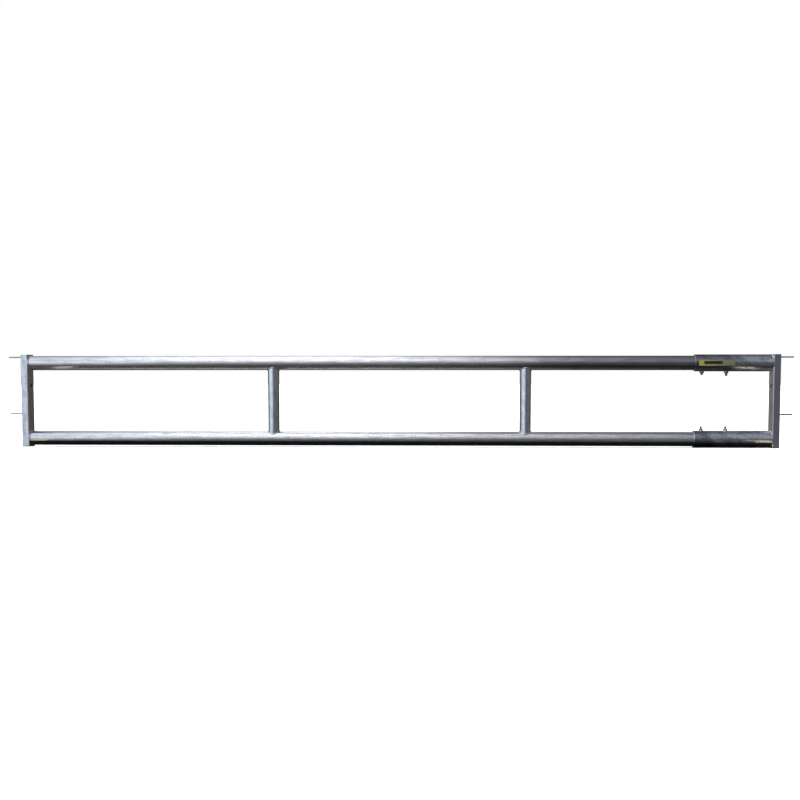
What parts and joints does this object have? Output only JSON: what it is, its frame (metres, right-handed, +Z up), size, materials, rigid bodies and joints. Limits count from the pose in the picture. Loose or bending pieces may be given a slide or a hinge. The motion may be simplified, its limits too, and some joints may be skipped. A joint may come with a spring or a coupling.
{
  "type": "livestock panel gate",
  "caption": "Low galvanised barrier gate with round rails and struts, end posts with pin lugs, and sleeves that slide over the rails to adjust its length and are locked by set screws.",
  "frame": {"origin": "on the ground, midway between the two posts' outer faces and in the plane of the rails, with the end frame pushed fully in", "axes": "+X along the rails towards the sliding end, +Y through the gate away from the labelled front, +Z up"},
  "size_m": [4.15, 0.0892, 0.49],
  "materials": {
    "galvanised_steel": "hot-dip galvanised, semi-bright",
    "zinc_plated_steel": "zinc plated",
    "label_film": "satin vinyl film"
  },
  "bodies": {
    "main_frame": {"top_rail": "galvanised_steel", "bottom_rail": "galvanised_steel", "left_post": "galvanised_steel", "left_strut": "galvanised_steel", "right_strut": "galvanised_steel", "left_upper_lug": "galvanised_steel", "left_lower_lug": "galvanised_steel"},
    "end_frame": {"right_post": "galvanised_steel", "right_upper_lug": "galvanised_steel", "right_lower_lug": "galvanised_steel", "top_sleeve": "galvanised_steel", "bottom_sleeve": "galvanised_steel", "top_mouth_nut": "galvanised_steel", "top_inner_nut": "galvanised_steel", "bottom_mouth_nut": "galvanised_steel", "bottom_inner_nut": "galvanised_steel", "label": "label_film"},
    "top_mouth_screw": {"top_mouth_screw": "zinc_plated_steel"},
    "top_inner_screw": {"top_inner_screw": "zinc_plated_steel"},
    "bottom_mouth_screw": {"bottom_mouth_screw": "zinc_plated_steel"},
    "bottom_inner_screw": {"bottom_inner_screw": "zinc_plated_steel"}
  },
  "joints": [
    {"name": "extension_slide", "type": "slide", "parent": "main_frame", "child": "end_frame", "axis": [1, 0, 0], "range_m": [0, 0.2]},
    {"name": "top_mouth_screw_travel", "type": "slide", "parent": "end_frame", "child": "top_mouth_screw", "axis": [0, 0, -1], "range_m": [0, 0.01]},
    {"name": "top_inner_screw_travel", "type": "slide", "parent": "end_frame", "child": "top_inner_screw", "axis": [0, 0, -1], "range_m": [0, 0.01]},
    {"name": "bottom_mouth_screw_travel", "type": "slide", "parent": "end_frame", "child": "bottom_mouth_screw", "axis": [0, 0, 1], "range_m": [0, 0.01]},
    {"name": "bottom_inner_screw_travel", "type": "slide", "parent": "end_frame", "child": "bottom_inner_screw", "axis": [0, 0, 1], "range_m": [0, 0.01]}
  ]
}
